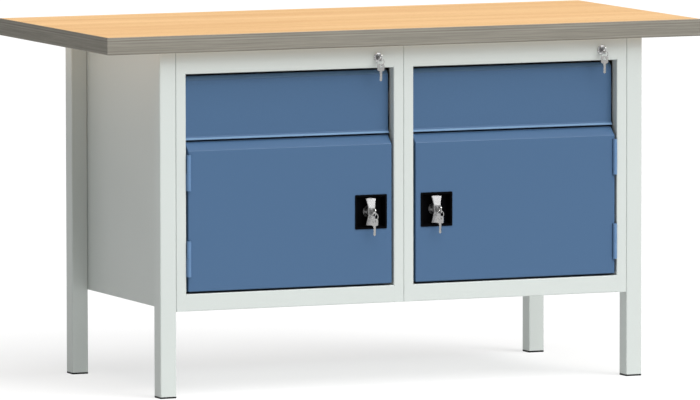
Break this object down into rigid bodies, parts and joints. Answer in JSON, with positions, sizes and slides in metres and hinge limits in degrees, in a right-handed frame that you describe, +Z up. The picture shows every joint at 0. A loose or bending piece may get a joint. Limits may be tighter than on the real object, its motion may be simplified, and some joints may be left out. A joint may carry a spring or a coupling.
{
  "type": "workbench with cabinet doors",
  "caption": "Free-standing workbench: thick wooden top on square steel legs, with steel cabinets under it that have lockable drawers on telescopic slides over hinged doors with turn handles.",
  "frame": {"origin": "on the floor, under the middle of the worktop", "axes": "+X along the bench to the right as seen from its front, +Y from front to rear, +Z up"},
  "size_m": [1.5, 0.7, 0.84],
  "materials": {
    "worktop_wood": "oiled beech",
    "frame_paint": "light grey powder coat",
    "front_paint": "blue powder coat",
    "foot_plastic": "black",
    "dish_plastic": "black",
    "chrome_trim": "polished",
    "key_metal": "nickel",
    "zinc_steel": "zinc plated"
  },
  "bodies": {
    "bench": {"drawer_lock_housings": "chrome_trim", "front_left_leg": "frame_paint", "front_right_leg": "frame_paint", "hinge_frame_halves": "front_paint", "joining_bolts": "zinc_steel", "left_back_panel": "frame_paint", "left_floor": "frame_paint", "left_inner_side": "frame_paint", "left_lock_rail": "frame_paint", "left_outer_side": "frame_paint", "left_shelf": "frame_paint", "leg_bolts": "zinc_steel", "leg_feet": "foot_plastic", "rear_left_leg": "frame_paint", "rear_right_leg": "frame_paint", "right_back_panel": "frame_paint", "right_floor": "frame_paint", "right_inner_side": "frame_paint", "right_lock_rail": "frame_paint", "right_outer_side": "frame_paint", "right_shelf": "frame_paint", "shelf_clips": "zinc_steel", "slide_cabinet_members": "zinc_steel", "slide_carriers": "zinc_steel", "worktop": "worktop_wood", "worktop_screws": "zinc_steel"},
    "left_drawer": {"left_drawer_front": "front_paint", "left_drawer_box": "frame_paint", "left_drawer_back": "frame_paint", "left_slide_drawer_members": "zinc_steel"},
    "left_slide_middle": {"left_slide_middle_members": "zinc_steel"},
    "left_door": {"left_door_panel": "front_paint", "left_hinge_door_halves": "front_paint", "left_handle_dish": "dish_plastic"},
    "left_handle": {"left_handle_grip": "chrome_trim", "left_latch_tongue": "zinc_steel"},
    "left_door_lock": {"left_door_lock_plug": "chrome_trim", "left_door_key": "key_metal"},
    "left_door_spare": {"left_door_spare_key": "key_metal"},
    "left_drawer_lock": {"left_drawer_lock_plug": "chrome_trim", "left_drawer_lock_cam": "zinc_steel", "left_drawer_key": "key_metal"},
    "left_drawer_spare": {"left_drawer_spare_key": "key_metal"},
    "right_drawer": {"right_drawer_front": "front_paint", "right_drawer_box": "frame_paint", "right_drawer_back": "frame_paint", "right_slide_drawer_members": "zinc_steel"},
    "right_slide_middle": {"right_slide_middle_members": "zinc_steel"},
    "right_door": {"right_door_panel": "front_paint", "right_hinge_door_halves": "front_paint", "right_handle_dish": "dish_plastic"},
    "right_handle": {"right_handle_grip": "chrome_trim", "right_latch_tongue": "zinc_steel"},
    "right_door_lock": {"right_door_lock_plug": "chrome_trim", "right_door_key": "key_metal"},
    "right_door_spare": {"right_door_spare_key": "key_metal"},
    "right_drawer_lock": {"right_drawer_lock_plug": "chrome_trim", "right_drawer_lock_cam": "zinc_steel", "right_drawer_key": "key_metal"},
    "right_drawer_spare": {"right_drawer_spare_key": "key_metal"}
  },
  "joints": [
    {"name": "left_drawer_slide", "type": "slide", "parent": "bench", "child": "left_drawer", "axis": [0, -1, 0], "range_m": [0, 0.38]},
    {"name": "left_slide_middle_slide", "type": "slide", "parent": "bench", "child": "left_slide_middle", "axis": [0, -1, 0], "range_m": [0, 0.19]},
    {"name": "left_door_hinge", "type": "hinge", "parent": "bench", "child": "left_door", "pos_m": [-0.5392, -0.3218, 0.4205], "axis": [0, 0, -1], "range_deg": [0, 110]},
    {"name": "left_handle_turn", "type": "hinge", "parent": "left_door", "child": "left_handle", "pos_m": [-0.083, -0.326, 0.4135], "axis": [0, 1, 0], "range_deg": [0, 90]},
    {"name": "left_door_key_turn", "type": "hinge", "parent": "left_handle", "child": "left_door_lock", "pos_m": [-0.083, -0.326, 0.4135], "axis": [0, 1, 0], "range_deg": [0, 90]},
    {"name": "left_door_spare_swing", "type": "hinge", "parent": "left_door_lock", "child": "left_door_spare", "pos_m": [-0.083, -0.342, 0.4074], "axis": [0, 1, 0], "range_deg": [-90, 0]},
    {"name": "left_drawer_key_turn", "type": "hinge", "parent": "bench", "child": "left_drawer_lock", "pos_m": [-0.065, -0.323, 0.773], "axis": [0, -1, 0], "range_deg": [0, 90]},
    {"name": "left_drawer_spare_swing", "type": "hinge", "parent": "left_drawer_lock", "child": "left_drawer_spare", "pos_m": [-0.065, -0.338, 0.7669], "axis": [0, -1, 0], "range_deg": [-90, 0]},
    {"name": "right_drawer_slide", "type": "slide", "parent": "bench", "child": "right_drawer", "axis": [0, -1, 0], "range_m": [0, 0.38]},
    {"name": "right_slide_middle_slide", "type": "slide", "parent": "bench", "child": "right_slide_middle", "axis": [0, -1, 0], "range_m": [0, 0.19]},
    {"name": "right_door_hinge", "type": "hinge", "parent": "bench", "child": "right_door", "pos_m": [0.5392, -0.3218, 0.4205], "axis": [0, 0, 1], "range_deg": [0, 110]},
    {"name": "right_handle_turn", "type": "hinge", "parent": "right_door", "child": "right_handle", "pos_m": [0.083, -0.326, 0.4135], "axis": [0, -1, 0], "range_deg": [0, 90]},
    {"name": "right_door_key_turn", "type": "hinge", "parent": "right_handle", "child": "right_door_lock", "pos_m": [0.083, -0.326, 0.4135], "axis": [0, 1, 0], "range_deg": [0, 90]},
    {"name": "right_door_spare_swing", "type": "hinge", "parent": "right_door_lock", "child": "right_door_spare", "pos_m": [0.083, -0.342, 0.4074], "axis": [0, -1, 0], "range_deg": [-90, 0]},
    {"name": "right_drawer_key_turn", "type": "hinge", "parent": "bench", "child": "right_drawer_lock", "pos_m": [0.505, -0.323, 0.773], "axis": [0, -1, 0], "range_deg": [0, 90]},
    {"name": "right_drawer_spare_swing", "type": "hinge", "parent": "right_drawer_lock", "child": "right_drawer_spare", "pos_m": [0.505, -0.338, 0.7669], "axis": [0, -1, 0], "range_deg": [-90, 0]}
  ],
  "couplings": [
    {"joint": "left_slide_middle_slide", "follows": "left_drawer_slide", "ratio": 0.5},
    {"joint": "left_door_spare_swing", "follows": "left_handle_turn", "ratio": -1},
    {"joint": "left_drawer_spare_swing", "follows": "left_drawer_key_turn", "ratio": -1},
    {"joint": "right_slide_middle_slide", "follows": "right_drawer_slide", "ratio": 0.5},
    {"joint": "right_door_spare_swing", "follows": "right_handle_turn", "ratio": -1},
    {"joint": "right_drawer_spare_swing", "follows": "right_drawer_key_turn", "ratio": -1}
  ]
}
